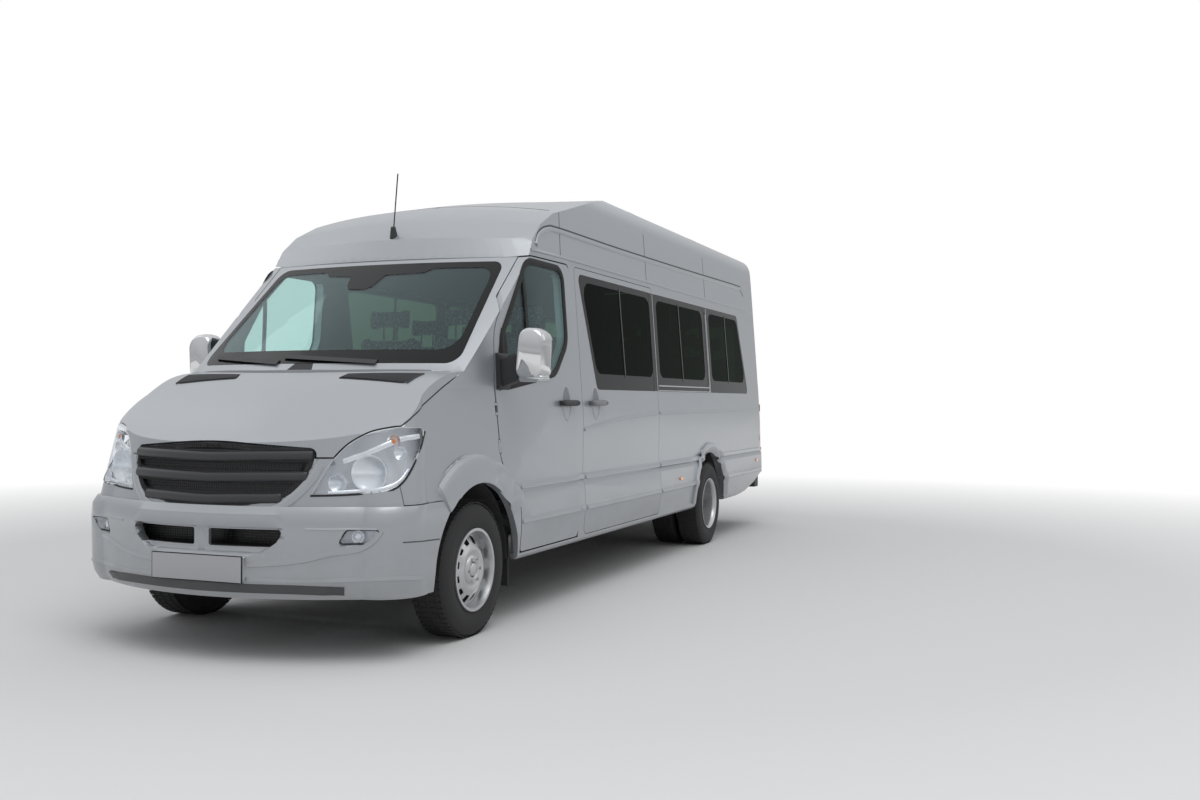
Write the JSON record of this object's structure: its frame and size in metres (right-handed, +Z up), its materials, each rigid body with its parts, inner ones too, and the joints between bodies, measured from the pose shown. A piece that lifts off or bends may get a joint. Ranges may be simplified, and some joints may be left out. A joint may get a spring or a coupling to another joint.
{
  "type": "minibus",
  "caption": "High-roof long-wheelbase minibus with sliding side door, twin rear doors, bonnet, steered front wheels and twin rear wheels.",
  "frame": {"origin": "on the ground, midway between the bumpers and on the centre line", "axes": "+X forward, +Y to the vehicle's left, +Z up"},
  "size_m": [7.345, 2.4252, 2.75],
  "materials": {
    "silver_paint": "metallic gloss",
    "underbody": "matt",
    "grille_black": "gloss",
    "black_plastic": "grained",
    "interior_plastic": "grained",
    "lamp_clear": "clear",
    "lamp_red": "clear red",
    "clear_glass": "clear",
    "tinted_glass": "dark tint",
    "seat_fabric": "woven",
    "mirror_shell": "polished",
    "chassis_black": "satin",
    "cast_metal": "cast",
    "exhaust_steel": "dull",
    "rubber": "matt",
    "wheel_silver": "satin",
    "tyre": "matt"
  },
  "bodies": {
    "body": {"floor_pan": "underbody", "roof": "silver_paint", "cab_frame": "silver_paint", "wings": "silver_paint", "front_panel": "silver_paint", "grille": "grille_black", "front_bumper": "silver_paint", "front_lamps": "lamp_clear", "windscreen": "clear_glass", "side_glass": "tinted_glass", "sliding_door": "silver_paint", "rear_bumper": "black_plastic", "tail_lamps": "lamp_red", "wipers": "black_plastic", "antenna": "black_plastic", "dashboard": "interior_plastic", "cab_seats": "seat_fabric", "passenger_seats": "seat_fabric", "side_wall_left": "silver_paint", "side_wall_right": "silver_paint", "chassis_rails": "chassis_black", "front_subframe": "chassis_black", "rear_axle": "chassis_black", "engine": "cast_metal", "radiator": "chassis_black", "exhaust": "exhaust_steel", "fuel_tank": "black_plastic", "mud_flaps": "rubber"},
    "front_door_left": {"front_door_left": "silver_paint", "front_door_glass_left": "clear_glass", "mirror_left": "mirror_shell"},
    "front_door_right": {"front_door_right": "silver_paint", "front_door_glass_right": "clear_glass", "mirror_right": "mirror_shell"},
    "bonnet": {"bonnet": "silver_paint"},
    "rear_door_left": {"rear_door_left": "silver_paint", "rear_door_glass_left": "tinted_glass"},
    "rear_door_right": {"rear_door_right": "silver_paint", "rear_door_glass_right": "tinted_glass"},
    "knuckle_left": {"knuckle_left": "cast_metal"},
    "knuckle_right": {"knuckle_right": "cast_metal"},
    "front_wheel_left": {"front_rim_left": "wheel_silver", "front_tyre_left": "tyre"},
    "front_wheel_right": {"front_rim_right": "wheel_silver", "front_tyre_right": "tyre"},
    "rear_wheels_left": {"rear_rims_left": "wheel_silver", "rear_tyres_left": "tyre"},
    "rear_wheels_right": {"rear_rims_right": "wheel_silver", "rear_tyres_right": "tyre"},
    "steering_wheel": {"steering_wheel": "interior_plastic"}
  },
  "joints": [
    {"name": "front_door_left", "type": "hinge", "parent": "body", "child": "front_door_left", "pos_m": [2.3725, 0.948, 1.09], "axis": [0, 0, -1], "range_deg": [0, 70]},
    {"name": "rear_door_left", "type": "hinge", "parent": "body", "child": "rear_door_left", "pos_m": [-3.5945, 0.834, 1.5], "axis": [0, 0, -1], "range_deg": [0, 180]},
    {"name": "spin_rear_left", "type": "hinge", "parent": "body", "child": "rear_wheels_left", "pos_m": [-1.6565, 0.756, 0.35], "axis": [0, 1, 0], "continuous": true},
    {"name": "front_door_right", "type": "hinge", "parent": "body", "child": "front_door_right", "pos_m": [2.3725, -0.948, 1.09], "axis": [0, 0, 1], "range_deg": [0, 70]},
    {"name": "rear_door_right", "type": "hinge", "parent": "body", "child": "rear_door_right", "pos_m": [-3.5945, -0.834, 1.5], "axis": [0, 0, 1], "range_deg": [0, 180]},
    {"name": "spin_rear_right", "type": "hinge", "parent": "body", "child": "rear_wheels_right", "pos_m": [-1.6565, -0.756, 0.35], "axis": [0, 1, 0], "continuous": true},
    {"name": "steer_left", "type": "hinge", "parent": "body", "child": "knuckle_left", "pos_m": [2.6685, 0.735, 0.35], "axis": [0, 0, 1], "range_deg": [-35, 35]},
    {"name": "steer_right", "type": "hinge", "parent": "body", "child": "knuckle_right", "pos_m": [2.6685, -0.735, 0.35], "axis": [0, 0, 1], "range_deg": [-35, 35]},
    {"name": "spin_front_left", "type": "hinge", "parent": "knuckle_left", "child": "front_wheel_left", "pos_m": [2.6685, 0.855, 0.35], "axis": [0, 1, 0], "continuous": true},
    {"name": "spin_front_right", "type": "hinge", "parent": "knuckle_right", "child": "front_wheel_right", "pos_m": [2.6685, -0.855, 0.35], "axis": [0, 1, 0], "continuous": true},
    {"name": "bonnet_lift", "type": "hinge", "parent": "body", "child": "bonnet", "pos_m": [2.7565, 0, 1.38], "axis": [0, -1, 0], "range_deg": [0, 35]},
    {"name": "steering_wheel_turn", "type": "hinge", "parent": "body", "child": "steering_wheel", "pos_m": [2.0785, -0.42, 1.165], "axis": [-0.8202, 0, 0.5721], "range_deg": [-490, 490]}
  ],
  "couplings": [
    {"joint": "steer_right", "follows": "steer_left", "ratio": 1},
    {"joint": "steering_wheel_turn", "follows": "steer_left", "ratio": 14}
  ]
}
